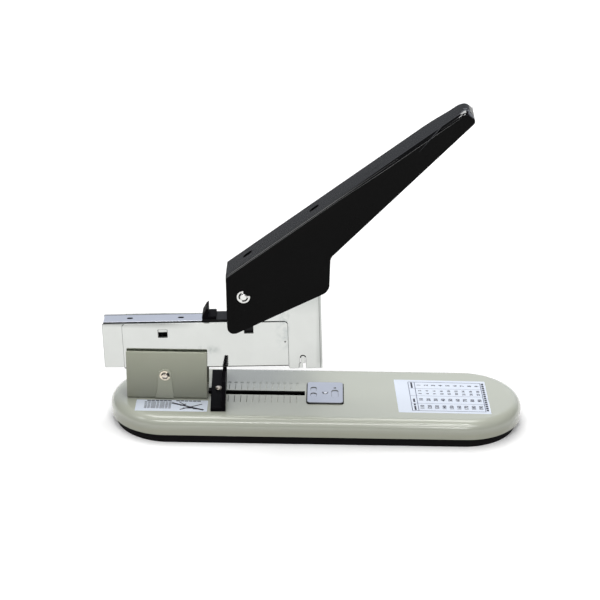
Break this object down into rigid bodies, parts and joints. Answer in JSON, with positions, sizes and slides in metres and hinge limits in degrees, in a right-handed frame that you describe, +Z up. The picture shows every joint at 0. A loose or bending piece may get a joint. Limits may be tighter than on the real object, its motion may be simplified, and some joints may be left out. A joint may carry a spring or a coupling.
{
  "type": "desk stapler",
  "caption": "Heavy-duty hand-worked desk stapler: a long lever handle on a hinged magazine head, over a rounded base with a sliding paper stop and a turning anvil.",
  "frame": {"origin": "centre of the flat underside of the base pad", "axes": "+X along the base from the head's hinge to the nose, +Y across the base to the far side, +Z up"},
  "size_m": [0.3368, 0.093, 0.271],
  "materials": {
    "sage_enamel": "satin grey-green enamel on pressed steel",
    "bracket_enamel": "satin darker grey-green enamel on folded steel",
    "black_enamel": "gloss black enamel on pressed steel",
    "black_rubber": "matt black",
    "black_plastic": "moulded satin black",
    "black_steel": "blackened sheet steel",
    "plated_steel": "bright nickel-plated sheet steel",
    "zinc_steel": "bright zinc-plated steel",
    "spring_steel": "drawn spring wire",
    "brassed_steel": "yellow-passivated steel ring"
  },
  "bodies": {
    "base": {"base_shell": "sage_enamel", "base_pad": "black_rubber", "base_screw_1": "zinc_steel", "base_screw_2": "zinc_steel", "base_screw_3": "zinc_steel", "base_screw_4": "zinc_steel", "rear_bracket": "bracket_enamel", "bracket_screw_1": "zinc_steel", "bracket_screw_2": "zinc_steel", "hinge_pin": "zinc_steel", "hinge_clip_near": "brassed_steel", "hinge_clip_far": "brassed_steel", "hinge_washer_near": "zinc_steel", "hinge_washer_far": "zinc_steel", "lift_spring": "spring_steel"},
    "head": {"frame_plate_near": "plated_steel", "frame_plate_far": "plated_steel", "side_cover_near": "plated_steel", "side_cover_far": "plated_steel", "front_plate": "plated_steel", "rear_plate": "plated_steel", "top_rail": "plated_steel", "staple_core": "plated_steel", "cross_pin_1": "zinc_steel", "cross_pin_2": "zinc_steel", "cross_pin_3": "zinc_steel", "cross_pin_4": "zinc_steel", "spring_seat": "zinc_steel", "spring_anchor": "zinc_steel", "pusher_spring": "spring_steel", "pivot_pin": "zinc_steel", "pivot_clip_near": "zinc_steel", "pivot_clip_far": "zinc_steel", "pivot_bush_near": "zinc_steel", "pivot_bush_far": "zinc_steel", "handle_spring": "spring_steel"},
    "pusher": {"pusher_saddle": "black_steel", "pusher_knob": "black_plastic"},
    "handle": {"handle_shell": "black_enamel", "drive_arm": "zinc_steel", "drive_pin": "zinc_steel"},
    "driver": {"driver_block": "zinc_steel", "driver_blade": "plated_steel"},
    "stop": {"paper_stop": "black_plastic", "stop_nut": "zinc_steel", "stop_screw": "zinc_steel"},
    "anvil": {"anvil_plate": "plated_steel", "anvil_stud": "plated_steel", "anvil_washer": "zinc_steel", "anvil_spring": "spring_steel"}
  },
  "joints": [
    {"name": "head_hinge", "type": "hinge", "parent": "base", "child": "head", "pos_m": [-0.121, 0, 0.0436], "axis": [0, 1, 0], "range_deg": [0, 12], "stiffness_Nm_per_rad": 5, "springref_deg": -40.11, "deforming": ["lift_spring"]},
    {"name": "handle_pivot", "type": "hinge", "parent": "head", "child": "handle", "pos_m": [-0.05795, 0, 0.11436], "axis": [0, 1, 0], "range_deg": [0, 41], "stiffness_Nm_per_rad": 0.6, "springref_deg": -57.3, "deforming": ["handle_spring"]},
    {"name": "driver_slide", "type": "slide", "parent": "head", "child": "driver", "axis": [0.0366, 0, -0.9993], "range_m": [0, 0.0349]},
    {"name": "pusher_slide", "type": "slide", "parent": "head", "child": "pusher", "axis": [0.9993, 0, 0.0366], "range_m": [-0.072, 0], "stiffness_N_per_m": 30, "springref_m": 0.07, "deforming": ["pusher_spring"]},
    {"name": "stop_slide", "type": "slide", "parent": "base", "child": "stop", "axis": [1, 0, 0], "range_m": [0, 0.045]},
    {"name": "anvil_turn", "type": "hinge", "parent": "base", "child": "anvil", "pos_m": [0.00735, 0, 0.0216], "axis": [0, 0, 1], "range_deg": [0, 180]}
  ],
  "couplings": [
    {"joint": "driver_slide", "follows": "handle_pivot", "m_per_rad": 0.048747}
  ]
}
